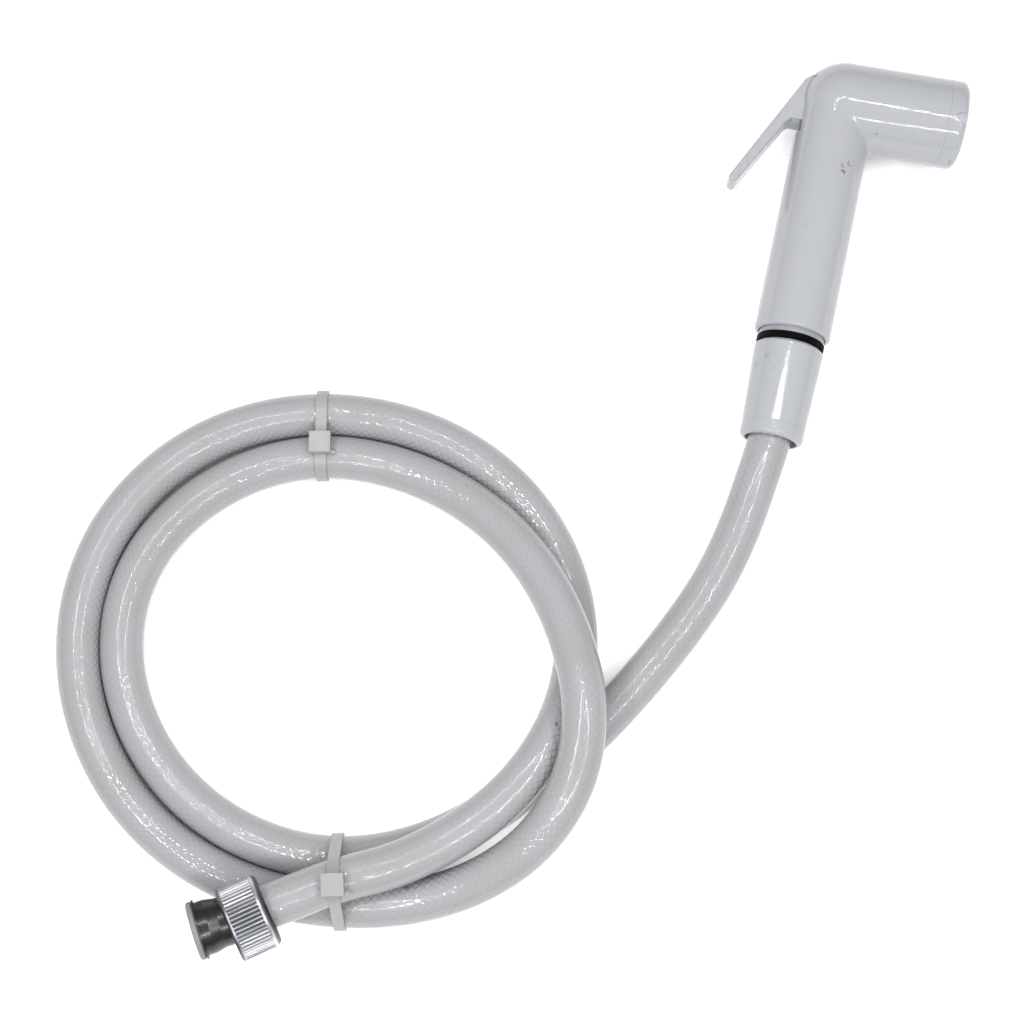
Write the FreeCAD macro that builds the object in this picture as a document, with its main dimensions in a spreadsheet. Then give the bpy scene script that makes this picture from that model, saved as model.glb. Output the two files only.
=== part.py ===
import FreeCAD, Part
import math
import os
import re
import Sketcher
from FreeCAD import Placement, Rotation, Vector

# A thumb-operated hand shower lies on its side beside two loose turns of its braided hose.
# Lengths are in millimetres. Row frame: +Z up, +Y along the handle towards the head, +X with the spray.
# Handset shapes are drawn in the handset frame: the elbow centre is its origin and the handle hangs along -Y.

document = FreeCAD.newDocument("hand_shower")
sheet = document.addObject("Spreadsheet::Sheet", "Sizes")

SIZES = {
    # Handset body
    "handle_radius": 12.5,
    "handle_drop": 81.65,
    "handle_rim_round": 1.1,
    "head_over_handle": 2.15,
    "head_reach": 34.9,
    "head_tilt": 2.7,
    "crown_shift": 1.7,
    "crown_clear": 1.2,
    "crossing_reach": 17.6,
    "inner_corner_round": 2.0,
    # Waterway inside the body
    "socket_radius": 11.05,
    "socket_depth": 20.0,
    "handle_bore_radius": 8.8,
    "handle_bore_top": 20.0,
    "riser_radius": 4.8,
    "riser_shift": 3.2,
    "chamber_radius": 5.8,
    "chamber_back": 0.5,
    "seat_back": 12.0,
    "seat_face": 13.5,
    "seat_hole_radius": 4.2,
    "cage_step": 26.0,
    "mouth_wall": 1.8,
    "cage_ledge": 2.0,
    # Lever, its slot and its pin
    "slot_width": 10.8,
    "slot_depth": 7.45,
    "slot_top": 8.95,
    "slot_bottom": 13.05,
    "lever_width": 10.0,
    "lever_thickness": 3.2,
    "lever_edge_round": 0.9,
    "lever_tip_round": 1.45,
    "lever_top_depth": 1.65,
    "lever_top_y": 5.25,
    "lever_tip_reach": 17.05,
    "lever_tip_y": 34.2,
    "lever_heel_reach": 1.55,
    "lever_heel_y": 10.65,
    "lever_pad_gap": 0.05,
    "lever_pad_height": 1.6,
    "lever_pad_margin": 0.9,
    "lever_pad_step": 1.6,
    "lever_heel_slope": 1.6,
    "lever_heel_rise": 1.4,
    "lever_boss_back": 1.4,
    "lever_boss_front": 1.0,
    "lever_boss_top": 1.8,
    "lever_boss_corner": 1.5,
    "pivot_depth": 5.65,
    "pivot_y": 5.55,
    "pin_radius": 1.25,
    "pin_reach": 6.8,
    "pin_gap": 0.05,
    "pin_end_gap": 0.2,
    # Valve
    "stem_radius": 1.75,
    "stem_end_depth": 5.4,
    "gland_radius": 4.0,
    "gland_bore_radius": 1.82,
    "seal_width": 1.3,
    "seal_groove": 1.9,
    "seal_squeeze": 0.05,
    "seal_fit": 0.1,
    "disc_radius": 6.6,
    "disc_face": 14.3,
    "disc_back": 17.0,
    "disc_hub": 2.0,
    "face_gap": 0.02,
    "disc_seal_margin": 0.2,
    "disc_seal_lap": 0.6,
    "spring_radius": 4.4,
    "spring_wire": 0.8,
    "spring_turns": 4.0,
    "spring_end_gap": 0.1,
    "cage_thickness": 1.8,
    "cage_hole_radius": 1.6,
    "cage_hole_margin": 1.4,
    # Spray end
    "cap_length": 6.3,
    "cap_round": 2.5,
    "cap_fit": 0.1,
    "cap_wall": 1.6,
    "cap_lip": 0.9,
    "cap_seat_gap": 0.05,
    "notch_width": 3.4,
    "notch_length": 4.2,
    "notch_depth": 0.9,
    "notch_turn": 12.0,
    "plate_thickness": 1.2,
    "plate_recess": 1.2,
    "plate_fit": 0.1,
    "gasket_width": 2.0,
    "gasket_depth": 2.0,
    "spray_hole_radius": 0.6,
    "spray_margin": 1.55,
    # Inlet adapter, neck ring and hose nut
    "adapter_radius": 10.9,
    "adapter_reach": 1.6,
    "adapter_sleeve_fit": 0.15,
    "adapter_land": 4.0,
    "adapter_groove_depth": 1.5,
    "adapter_groove_width": 2.0,
    "adapter_seal_gap": 0.1,
    "neck_ring_radius": 11.1,
    "neck_ring_width": 2.5,
    "neck_ring_edge": 0.4,
    "thread_radius": 10.35,
    "thread_gap": 0.12,
    "thread_relief": 0.6,
    "thread_length": 13.0,
    "inlet_bore_radius": 5.5,
    "nut_gap": 0.5,
    "cone_length": 31.4,
    "cone_top_radius": 11.4,
    "cone_bottom_radius": 10.2,
    "cone_mouth_radius": 8.5,
    "cone_top_round": 0.7,
    "cone_bottom_round": 1.5,
    "cone_band": 4.6,
    "cone_step": 0.18,
    "cone_step_length": 0.3,
    # Hose ends
    "hose_radius": 7.0,
    "hose_gap": 0.05,
    "hose_lead_straight": 2.5,
    "ferrule_flange_radius": 9.25,
    "ferrule_sheet": 0.5,
    "ferrule_front_radius": 8.3,
    "ferrule_radius": 7.6,
    "ferrule_shoulder": 3.2,
    "ferrule_neck": 6.4,
    "upper_ferrule_length": 12.0,
    "lower_ferrule_length": 18.4,
    "insert_radius": 4.1,
    "insert_bore_radius": 3.1,
    "insert_collar": 1.5,
    "insert_length": 16.0,
    "washer_radius": 9.0,
    "washer_bore_radius": 5.0,
    "washer_edge": 0.5,
    "upper_washer_thickness": 2.0,
    "supply_washer_thickness": 2.0,
    # Supply nut
    "supply_nut_radius": 11.6,
    "supply_nut_length": 12.8,
    "supply_nut_setback": 8.7,
    "supply_nut_tilt": 6.0,
    "supply_nut_drop": 1.2,
    "supply_thread_radius": 10.45,
    "supply_nut_back": 2.6,
    "supply_nut_hole_radius": 8.6,
    "supply_nut_front_edge": 0.5,
    "supply_nut_shoulder": 0.7,
    "supply_nut_shoulder_length": 1.1,
    "rib_front_margin": 1.2,
    "rib_back_margin": 2.2,
    "rib_depth": 0.6,
    "rib_count": 56.0,
    # Hose ties
    "tie_width": 3.6,
    "tie_sheet": 0.85,
    "tie_gap": 0.1,
    "tie_head_side": 6.8,
    "tie_head_height": 4.4,
    "tie_spur": 1.3,
    # Place of the elbow centre in the row frame, set below from the handset's own box
    "origin_x": 0.0,
    "origin_y": 0.0,
}

# Sizes that follow from others, so that pieces keep together when one of them changes
FOLLOWING_SIZES = {
    "head_radius": "handle_radius + head_over_handle",
    "mouth_radius": "head_radius - mouth_wall",
    "head_bore_radius": "mouth_radius - cage_ledge",
    "cap_skirt_radius": "mouth_radius - cap_fit",
    "cap_bore_radius": "cap_skirt_radius - cap_wall",
    "cap_lip_radius": "cap_bore_radius - cap_lip",
    "plate_front": "head_reach + cap_length - plate_recess",
    "slot_floor": "head_radius - slot_depth",
    "pivot_x": "head_radius - pivot_depth",
    "stem_reach": "head_radius - stem_end_depth",
    "lever_top_x": "head_radius - lever_top_depth",
    "lever_tip_x": "head_radius + lever_tip_reach",
    "lever_heel_x": "head_radius + lever_heel_reach",
    "arm_length": "sqrt((lever_tip_x - lever_top_x)^2 + (lever_tip_y + lever_top_y)^2)",
    "groove_top": "-handle_drop + socket_depth - adapter_land",
    "groove_bottom": "groove_top - adapter_groove_width",
    "sleeve_end": "-handle_drop - adapter_reach",
    "ring_end": "sleeve_end - neck_ring_width",
    "thread_end": "ring_end - thread_length",
    "nut_top": "ring_end - nut_gap",
    "nut_end": "nut_top - cone_length",
    "flange_face": "thread_end - upper_washer_thickness",
    "shoulder": "flange_face - ferrule_sheet - hose_gap * 3",
}

cells = dict(SIZES)
cells.update((alias, "=" + expression) for alias, expression in FOLLOWING_SIZES.items())
for row_number, (alias, content) in enumerate(cells.items(), start=1):
    sheet.set(f"A{row_number}", alias)
    sheet.set(f"B{row_number}", str(content))
    sheet.setAlias(f"B{row_number}", alias)
document.recompute()
ANY_SIZE = r"\b(" + "|".join(cells) + r")\b"


def size(expression):
    # The number that an expression over the sheet's names gives
    return float(sheet.evalExpression(expression))


def bind(thing, prop, expression):
    # Ties a property to the sheet, with every name in the expression looked up there
    thing.setExpression(prop, re.sub(ANY_SIZE, r"Sizes.\1", expression))


def new_body(name):
    body = document.addObject("PartDesign::Body", name)
    body.Label = name
    return body


def plane(body, role):
    return next(part for part in body.Origin.OriginFeatures if part.Role == role)


def outline_sketch(body, name, corners, role="XY_Plane", offset=None):
    # A closed outline of straight lines whose corners are expressions over the sheet
    sketch = body.newObject("Sketcher::SketchObject", name)
    sketch.AttachmentSupport = [(plane(body, role), "")]
    sketch.MapMode = "FlatFace"
    if offset:
        bind(sketch, "AttachmentOffset.Base.z", offset)
    places = [Vector(size(across), size(along), 0) for across, along in corners]
    for index, place in enumerate(places):
        sketch.addGeometry(Part.LineSegment(place, places[(index + 1) % len(places)]))
    for index, place in enumerate(places):
        following = (index + 1) % len(places)
        sketch.addConstraint(Sketcher.Constraint("Coincident", index, 2, following, 1))
    for index, (across, along) in enumerate(corners):
        for kind, axis, words in (("DistanceX", -2, across), ("DistanceY", -1, along)):
            if words == "0":
                sketch.addConstraint(Sketcher.Constraint("PointOnObject", index, 1, axis))
                continue
            number = size(words)
            constraint = Sketcher.Constraint(kind, -1, 1, index, 1, number)
            place = sketch.addConstraint(constraint)
            bind(sketch, f"Constraints[{place}]", words)
    return sketch


def turned(name, corners, placement=None):
    # A round part: corners are (radius, height along the part's own +Y axis)
    body = new_body(name)
    sketch = outline_sketch(body, name + "_profile", corners)
    turning = body.newObject("PartDesign::Revolution", name + "_turning")
    turning.Profile = sketch
    turning.ReferenceAxis = (sketch, ["V_Axis"])
    turning.Angle = 360
    document.recompute()
    if placement:
        body.Placement = placement
    return body


def primitive(body, kind, name, position, direction, **measures):
    # A cylinder, sphere or box of a body, standing at a position and facing along a direction
    feature = body.newObject("PartDesign::" + kind, name)
    for prop, words in measures.items():
        bind(feature, prop, words)
    feature.Placement = Placement(Vector(), Rotation(Vector(0, 0, 1), direction))
    for axis, words in zip("xyz", position):
        bind(feature, f"Placement.Base.{axis}", words)
    return feature


def round_edges(body, name, radius, wanted):
    # Rounds the edges of a body's shape so far that a test picks
    document.recompute()
    base = body.Tip
    names = [f"Edge{n}" for n, edge in enumerate(base.Shape.Edges, start=1) if wanted(edge)]
    rounding = body.newObject("PartDesign::Fillet", name)
    rounding.Base = (base, names)
    bind(rounding, "Radius", radius)
    document.recompute()
    return rounding


def polar(body, name, original, axis, count):
    pattern = body.newObject("PartDesign::PolarPattern", name)
    pattern.Originals = [original]
    pattern.Axis = axis
    pattern.Angle = 360
    pattern.Occurrences = count
    body.Tip = pattern
    return pattern


def is_circle_at(edge, radius, centre, slack=0.05):
    if edge.Degenerated:
        return False
    curve = edge.Curve
    if curve.TypeId != "Part::GeomCircle":
        return False
    return abs(curve.Radius - radius) < slack and curve.Center.distanceToPoint(centre) < slack


# Directions in the handset frame
tilt = math.radians(size("head_tilt"))
head_axis = Vector(math.cos(tilt), math.sin(tilt), 0)
handle_axis = Vector(0, 1, 0)
along_head = Placement(Vector(), Rotation(Vector(0, 1, 0), head_axis))

handset_bodies = []

# Handset shell: handle, domed elbow and head in one moulding, with its bores, valve seat and lever slot
def stock(kind, name, position, direction, **measures):
    # A plain solid outside any body, facing along a direction, with its seam turned away from the spray side
    solid = document.addObject("Part::" + kind, name)
    for prop, words in measures.items():
        bind(solid, prop, words)
    seam_turn = Rotation(Vector(0, 0, 1), 180)
    solid.Placement = Placement(Vector(), Rotation(Vector(0, 0, 1), direction).multiply(seam_turn))
    for axis, words in zip("xyz", position):
        bind(solid, f"Placement.Base.{axis}", words)
    return solid


def joined(name, solids):
    whole = document.addObject("Part::MultiFuse", name)
    whole.Shapes = solids
    whole.Refine = True
    return whole


handle_stock = stock("Cylinder", "handle", ("0", "-handle_drop", "0"), handle_axis,
                     Radius="handle_radius", Height="handle_drop")
crown_stock = stock("Sphere", "crown", ("crown_shift", "crown_shift * tan(head_tilt)", "0"), head_axis,
                    Radius="head_radius")
crown_stock.Angle2 = 0
head_stock = stock("Cylinder", "head", ("crown_shift", "crown_shift * tan(head_tilt)", "0"), head_axis,
                   Radius="head_radius", Height="head_reach - crown_shift")
through_head = stock("Cylinder", "through_head", ("-crossing_reach", "-crossing_reach * tan(head_tilt)", "0"),
                     head_axis, Radius="head_radius", Height="head_reach + crossing_reach")
crossing = joined("crossing", [handle_stock, through_head])
document.recompute()


# The inner corner is rounded on the spray side only: the back of the crossing is left to the crown
rounded_crossing = document.addObject("Part::Fillet", "rounded_crossing")
rounded_crossing.Base = crossing
corner_round = size("inner_corner_round")
crossing_edges = enumerate(crossing.Shape.Edges, start=1)
rounded_crossing.Edges = [(n, corner_round, corner_round) for n, edge in crossing_edges
                          if edge.Curve.TypeId == "Part::GeomBSplineCurve"]
spray_side = document.addObject("Part::Box", "spray_side")
bind(spray_side, "Length", "head_reach * 2")
bind(spray_side, "Width", "head_radius * 4")
bind(spray_side, "Height", "head_radius * 4")
bind(spray_side, "Placement.Base.x", "crown_shift + crown_clear")
bind(spray_side, "Placement.Base.y", "-head_radius * 2")
bind(spray_side, "Placement.Base.z", "-head_radius * 2")
rounded_side = document.addObject("Part::Common", "rounded_side")
rounded_side.Base = rounded_crossing
rounded_side.Tool = spray_side
shell_stock = joined("shell_stock", [handle_stock, crown_stock, head_stock, rounded_side])
document.recompute()
shell = new_body("handset_shell")
shell.BaseFeature = shell_stock
document.recompute()
rim = Vector(0, -size("handle_drop"), 0)
round_edges(shell, "handle_rim_rounding", "handle_rim_round",
            lambda edge: is_circle_at(edge, size("handle_radius"), rim))
primitive(shell, "SubtractiveCylinder", "adapter_socket", ("0", "-handle_drop", "0"), handle_axis,
          Radius="socket_radius", Height="socket_depth")
primitive(shell, "SubtractiveCylinder", "handle_bore", ("0", "-handle_drop", "0"), handle_axis,
          Radius="handle_bore_radius", Height="handle_drop - handle_bore_top")
primitive(shell, "SubtractiveCylinder", "riser", ("riser_shift", "-handle_bore_top - 1", "0"), handle_axis,
          Radius="riser_radius", Height="handle_bore_top + 1")
primitive(shell, "SubtractiveCylinder", "valve_chamber",
          ("chamber_back * cos(head_tilt)", "chamber_back * sin(head_tilt)", "0"), head_axis,
          Radius="chamber_radius", Height="seat_back - chamber_back")
primitive(shell, "SubtractiveCylinder", "seat_hole", ("0", "0", "0"), head_axis,
          Radius="seat_hole_radius", Height="seat_face + 1")
primitive(shell, "SubtractiveCylinder", "head_bore",
          ("seat_face * cos(head_tilt)", "seat_face * sin(head_tilt)", "0"), head_axis,
          Radius="head_bore_radius", Height="head_reach - seat_face + 1")
primitive(shell, "SubtractiveCylinder", "head_mouth",
          ("cage_step * cos(head_tilt)", "cage_step * sin(head_tilt)", "0"), head_axis,
          Radius="mouth_radius", Height="head_reach - cage_step + 1")
primitive(shell, "SubtractiveCylinder", "gland_hole",
          ("-slot_floor - 1", "-(slot_floor + 1) * tan(head_tilt)", "0"), head_axis,
          Radius="gland_radius", Height="slot_floor + 1.5 + chamber_back")
primitive(shell, "SubtractiveBox", "lever_slot", ("-head_radius * 2", "-slot_bottom", "-slot_width / 2"),
          Vector(0, 0, 1),
          Length="head_radius * 2 - slot_floor", Width="slot_bottom + slot_top", Height="slot_width")
primitive(shell, "SubtractiveCylinder", "pin_hole", ("-pivot_x", "pivot_y", "-head_radius"), Vector(0, 0, 1),
          Radius="pin_radius", Height="head_radius + pin_reach + pin_end_gap")
handset_bodies.append(shell)

# Lever: a flat arm that thickens into a block, hung on its pin inside the slot
tip_inner_x = "-lever_tip_x + lever_thickness * (lever_tip_y + lever_top_y) / arm_length"
tip_inner_y = "-lever_tip_y - lever_thickness * (lever_tip_x - lever_top_x) / arm_length"
lever = new_body("lever")
lever_sketch = outline_sketch(lever, "lever_profile", [
    ("-pivot_x - lever_boss_back", "pivot_y + lever_boss_top"),
    ("-lever_top_x", "lever_top_y"),
    ("-lever_tip_x", "-lever_tip_y"),
    (tip_inner_x, tip_inner_y),
    ("-lever_heel_x", "-lever_heel_y"),
    ("-lever_heel_x + lever_heel_slope", "-lever_heel_y + lever_heel_rise"),
    ("-stem_reach - lever_pad_gap - lever_pad_step", "-lever_heel_y + lever_heel_rise"),
    ("-stem_reach - lever_pad_gap", "-stem_radius - lever_pad_margin"),
    ("-stem_reach - lever_pad_gap", "lever_pad_height"),
    ("-pivot_x + lever_boss_front", "lever_pad_height + pin_radius"),
    ("-pivot_x + lever_boss_front", "pivot_y + lever_boss_corner"),
])
lever_pad = lever.newObject("PartDesign::Pad", "lever_block")
lever_pad.Profile = lever_sketch
bind(lever_pad, "Length", "lever_width")
lever_pad.Midplane = True
document.recompute()


def tip_corner(edge):
    box = edge.BoundBox
    return box.ZLength > size("lever_width") - 0.1 and box.XMax < -size("lever_tip_x - lever_thickness - 1")


def blade_edge(edge):
    box = edge.BoundBox
    flat = box.ZLength < 0.01 and abs(abs(box.ZMax) - size("lever_width") / 2) < 0.01
    return flat and box.XMax < -size("lever_top_x") + 0.1


round_edges(lever, "tip_rounding", "lever_tip_round", tip_corner)
round_edges(lever, "blade_rounding", "lever_edge_round", blade_edge)
primitive(lever, "SubtractiveCylinder", "pin_hole_in_lever", ("-pivot_x", "pivot_y", "-lever_width"),
          Vector(0, 0, 1), Radius="pin_radius + pin_gap", Height="lever_width * 2")
handset_bodies.append(lever)

# Lever pin, pressed into the shell on both sides of the slot
pin = new_body("lever_pin")
primitive(pin, "AdditiveCylinder", "pin_rod", ("-pivot_x", "pivot_y", "-pin_reach"), Vector(0, 0, 1),
          Radius="pin_radius", Height="pin_reach * 2")
handset_bodies.append(pin)

# Valve parts turn about the head's axis
handset_bodies.append(turned("valve_gland", [
    ("gland_bore_radius", "-slot_floor"),
    ("gland_radius", "-slot_floor"),
    ("gland_radius", "chamber_back"),
    ("stem_radius + seal_width", "chamber_back"),
    ("stem_radius + seal_width", "chamber_back - seal_groove"),
    ("gland_bore_radius", "chamber_back - seal_groove"),
], along_head))
handset_bodies.append(turned("stem_seal", [
    ("stem_radius + seal_squeeze", "chamber_back - seal_groove + seal_fit"),
    ("stem_radius + seal_width - seal_squeeze", "chamber_back - seal_groove + seal_fit"),
    ("stem_radius + seal_width - seal_squeeze", "chamber_back - seal_fit"),
    ("stem_radius + seal_squeeze", "chamber_back - seal_fit"),
], along_head))
plunger = turned("valve_plunger", [
    ("0", "-stem_reach + stem_radius"),
    ("stem_radius", "-stem_reach + stem_radius"),
    ("stem_radius", "disc_face"),
    ("disc_radius", "disc_face"),
    ("disc_radius", "disc_back"),
    ("spring_radius - spring_wire", "disc_back"),
    ("spring_radius - spring_wire", "disc_back + disc_hub"),
    ("0", "disc_back + disc_hub"),
], along_head)
primitive(plunger, "AdditiveSphere", "stem_dome", ("0", "-stem_reach + stem_radius", "0"), Vector(0, 0, 1),
          Radius="stem_radius")
handset_bodies.append(plunger)
handset_bodies.append(turned("valve_seal", [
    ("seat_hole_radius - disc_seal_lap", "seat_face + face_gap"),
    ("disc_radius - disc_seal_margin", "seat_face + face_gap"),
    ("disc_radius - disc_seal_margin", "disc_face"),
    ("seat_hole_radius - disc_seal_lap", "disc_face"),
], along_head))

# Valve spring: a square-wire coil between the plunger and the cage
spring = new_body("valve_spring")
spring_sketch = outline_sketch(spring, "spring_wire_section", [
    ("spring_radius - spring_wire / 2", "disc_back + spring_end_gap"),
    ("spring_radius + spring_wire / 2", "disc_back + spring_end_gap"),
    ("spring_radius + spring_wire / 2", "disc_back + spring_end_gap + spring_wire"),
    ("spring_radius - spring_wire / 2", "disc_back + spring_end_gap + spring_wire"),
])
coils = spring.newObject("PartDesign::AdditiveHelix", "spring_coils")
coils.Profile = spring_sketch
coils.ReferenceAxis = (spring_sketch, ["V_Axis"])
coils.Mode = "height-turns-angle"
bind(coils, "Height", "cage_step - disc_back - spring_wire - 2 * spring_end_gap")
bind(coils, "Turns", "spring_turns")
coils.Angle = 0
document.recompute()
spring.Placement = along_head
handset_bodies.append(spring)

# Spring cage: a drilled disc held between the head's step and the cap's skirt
cage = turned("spring_cage", [
    ("0", "cage_step"),
    ("mouth_radius - cap_fit", "cage_step"),
    ("mouth_radius - cap_fit", "cage_step + cage_thickness"),
    ("0", "cage_step + cage_thickness"),
], along_head)
cage_hole = primitive(cage, "SubtractiveCylinder", "cage_hole",
                      ("head_bore_radius - cage_hole_radius - cage_hole_margin", "cage_step - 1", "0"),
                      handle_axis, Radius="cage_hole_radius", Height="cage_thickness + 2")
polar(cage, "cage_holes", cage_hole, (plane(cage, "Y_Axis"), [""]), 8)
handset_bodies.append(cage)

# Face cap: a ring screwed into the head, rounded at the rim, with two wrench notches
cap = turned("face_cap", [
    ("cap_bore_radius", "cage_step + cage_thickness + cap_seat_gap"),
    ("cap_skirt_radius", "cage_step + cage_thickness + cap_seat_gap"),
    ("cap_skirt_radius", "head_reach + cap_seat_gap"),
    ("head_radius", "head_reach + cap_seat_gap"),
    ("head_radius", "head_reach + cap_length"),
    ("cap_lip_radius", "head_reach + cap_length"),
    ("cap_lip_radius", "head_reach + cap_length - plate_recess"),
    ("cap_bore_radius", "head_reach + cap_length - plate_recess"),
], along_head)
cap_end = Vector(0, size("head_reach + cap_length"), 0)
along_y = cap.Placement
cap.Placement = Placement()
round_edges(cap, "cap_rim_rounding", "cap_round",
            lambda edge: is_circle_at(edge, size("head_radius"), cap_end))
notch = primitive(cap, "SubtractiveBox", "wrench_notch",
                  ("-notch_width / 2", "head_reach + cap_length - notch_length + notch_width / 2",
                   "head_radius - notch_depth"),
                  Vector(0, 0, 1), Length="notch_width", Width="notch_length", Height="notch_depth + 1")
notch_end = primitive(cap, "SubtractiveCylinder", "wrench_notch_end",
                      ("0", "head_reach + cap_length - notch_length + notch_width / 2",
                       "head_radius - notch_depth"),
                      Vector(0, 0, 1), Radius="notch_width / 2", Height="notch_depth + 1")
notches = cap.newObject("PartDesign::PolarPattern", "wrench_notches")
notches.Originals = [notch, notch_end]
notches.Axis = (plane(cap, "Y_Axis"), [""])
notches.Angle = 360
notches.Occurrences = 2
cap.Tip = notches
document.recompute()
cap.Placement = along_y.multiply(Placement(Vector(), Rotation(Vector(0, 1, 0), size("notch_turn"))))
handset_bodies.append(cap)

# Spray plate with rings of holes, and the gasket behind it
spray_plate = turned("spray_plate", [
    ("0", "plate_front - plate_thickness"),
    ("cap_bore_radius - plate_fit", "plate_front - plate_thickness"),
    ("cap_bore_radius - plate_fit", "plate_front - face_gap"),
    ("0", "plate_front - face_gap"),
], along_head)
for ring in (1, 2, 3):
    spray_hole = primitive(spray_plate, "SubtractiveCylinder", f"spray_hole_{ring}",
                           (f"(cap_lip_radius - spray_margin) / 3 * {ring}",
                            "plate_front - plate_thickness - 1", "0"),
                           handle_axis, Radius="spray_hole_radius", Height="plate_thickness + 2")
    polar(spray_plate, f"spray_ring_{ring}", spray_hole, (plane(spray_plate, "Y_Axis"), [""]), 6 * ring)
handset_bodies.append(spray_plate)
handset_bodies.append(turned("face_gasket", [
    ("cap_bore_radius - gasket_width", "plate_front - plate_thickness - gasket_depth"),
    ("cap_bore_radius - plate_fit", "plate_front - plate_thickness - gasket_depth"),
    ("cap_bore_radius - plate_fit", "plate_front - plate_thickness - cap_seat_gap"),
    ("cap_bore_radius - gasket_width", "plate_front - plate_thickness - cap_seat_gap"),
], along_head))

# Inlet adapter: a sleeve in the handle's socket, a neck with a ring, and a male thread
handset_bodies.append(turned("inlet_adapter", [
    ("inlet_bore_radius", "-handle_drop + socket_depth"),
    ("adapter_radius", "-handle_drop + socket_depth"),
    ("adapter_radius", "groove_top"),
    ("adapter_radius - adapter_groove_depth", "groove_top"),
    ("adapter_radius - adapter_groove_depth", "groove_bottom"),
    ("adapter_radius", "groove_bottom"),
    ("adapter_radius", "-handle_drop + adapter_land"),
    ("adapter_radius - adapter_sleeve_fit", "-handle_drop + adapter_land"),
    ("adapter_radius - adapter_sleeve_fit", "sleeve_end"),
    ("thread_radius - thread_relief", "sleeve_end"),
    ("thread_radius - thread_relief", "ring_end"),
    ("thread_radius", "ring_end"),
    ("thread_radius", "thread_end"),
    ("inlet_bore_radius", "thread_end"),
]))
handset_bodies.append(turned("adapter_seal", [
    ("adapter_radius - adapter_groove_depth + seal_squeeze", "groove_bottom + adapter_seal_gap"),
    ("socket_radius - face_gap", "groove_bottom + adapter_seal_gap"),
    ("socket_radius - face_gap", "groove_top - adapter_seal_gap"),
    ("adapter_radius - adapter_groove_depth + seal_squeeze", "groove_top - adapter_seal_gap"),
]))
handset_bodies.append(turned("neck_ring", [
    ("thread_radius - thread_relief + seal_squeeze", "sleeve_end - face_gap"),
    ("neck_ring_radius - neck_ring_edge", "sleeve_end - face_gap"),
    ("neck_ring_radius", "sleeve_end - face_gap - neck_ring_edge"),
    ("neck_ring_radius", "ring_end + face_gap + neck_ring_edge"),
    ("neck_ring_radius - neck_ring_edge", "ring_end + face_gap"),
    ("thread_radius - thread_relief + seal_squeeze", "ring_end + face_gap"),
]))

# Hose nut: a cone that screws onto the adapter and holds the hose's flange
cone_nut = turned("cone_nut", [
    ("thread_radius + thread_gap", "nut_top"),
    ("cone_top_radius", "nut_top"),
    ("cone_bottom_radius + (cone_top_radius - cone_bottom_radius) * cone_band / cone_length",
     "nut_end + cone_band"),
    ("cone_bottom_radius + cone_step", "nut_end + cone_band - cone_step_length"),
    ("cone_bottom_radius + cone_step", "nut_end"),
    ("cone_mouth_radius", "nut_end"),
    ("cone_mouth_radius", "shoulder"),
    ("thread_radius + thread_gap", "shoulder"),
])
nut_top_centre = Vector(0, size("nut_top"), 0)
nut_end_centre = Vector(0, size("nut_end"), 0)
round_edges(cone_nut, "cone_top_rounding", "cone_top_round",
            lambda edge: is_circle_at(edge, size("cone_top_radius"), nut_top_centre))
round_edges(cone_nut, "cone_bottom_rounding", "cone_bottom_round",
            lambda edge: is_circle_at(edge, size("cone_bottom_radius + cone_step"), nut_end_centre))
handset_bodies.append(cone_nut)
document.recompute()

# The row's origin is the bottom centre of the handset's box, so the elbow centre moves there
box = FreeCAD.BoundBox()
for body in handset_bodies:
    box.add(body.Shape.optimalBoundingBox(False))
sheet.set("origin_x", str(round(-(box.XMin + box.XMax) / 2, 3)))
sheet.set("origin_y", str(round(-(box.YMin + box.YMax) / 2, 3)))
document.recompute()
for body in handset_bodies:
    bind(body, "Placement.Base.x", "origin_x")
    bind(body, "Placement.Base.y", "origin_y")
    bind(body, "Placement.Base.z", "head_radius")
document.recompute()
elbow = Vector(size("origin_x"), size("origin_y"), size("head_radius"))

# Hose route: it leaves the hose nut, bends down to the surface and goes round clockwise, seen from above
# Places are taken from the middle of the nut's mouth and grow with the hose, so that turns lie side by side.
LAID_RADIUS = 7.0
LEAD_POINTS = [
    (-1.9, -14.0, 14.5),
    (-3.9, -30.0, 12.8),
    (-7.9, -47.5, 10.2),
    (-15.4, -66.0, 8.1),
    (-25.2, -85.5, 7.0),
    (-37.8, -106.5, 7.0),
    (-51.0, -122.2, 7.0),
]
LOOP_CENTRE = (-122.56, -97.53)
LOOP_START = 30
LOOP_STEP = 15
LOOP_END = 795
# Radius of the loops against the degrees turned
LOOP_RADII = [
    (15, 79.9), (30, 72.0), (45, 68.6), (60, 66.5), (100, 64.2), (135, 65.7), (185, 70.3), (225, 67.2),
    (272, 64.0), (295, 65.0), (315, 68.0), (340, 74.0), (360, 82.0), (382, 88.7), (405, 86.2), (430, 80.5),
    (455, 78.5), (495, 80.6), (550, 84.7), (585, 82.8), (620, 78.9), (675, 79.3), (705, 78.5), (740, 73.7),
    (765, 70.3), (795, 71.5), (810, 73.0),
]
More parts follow.
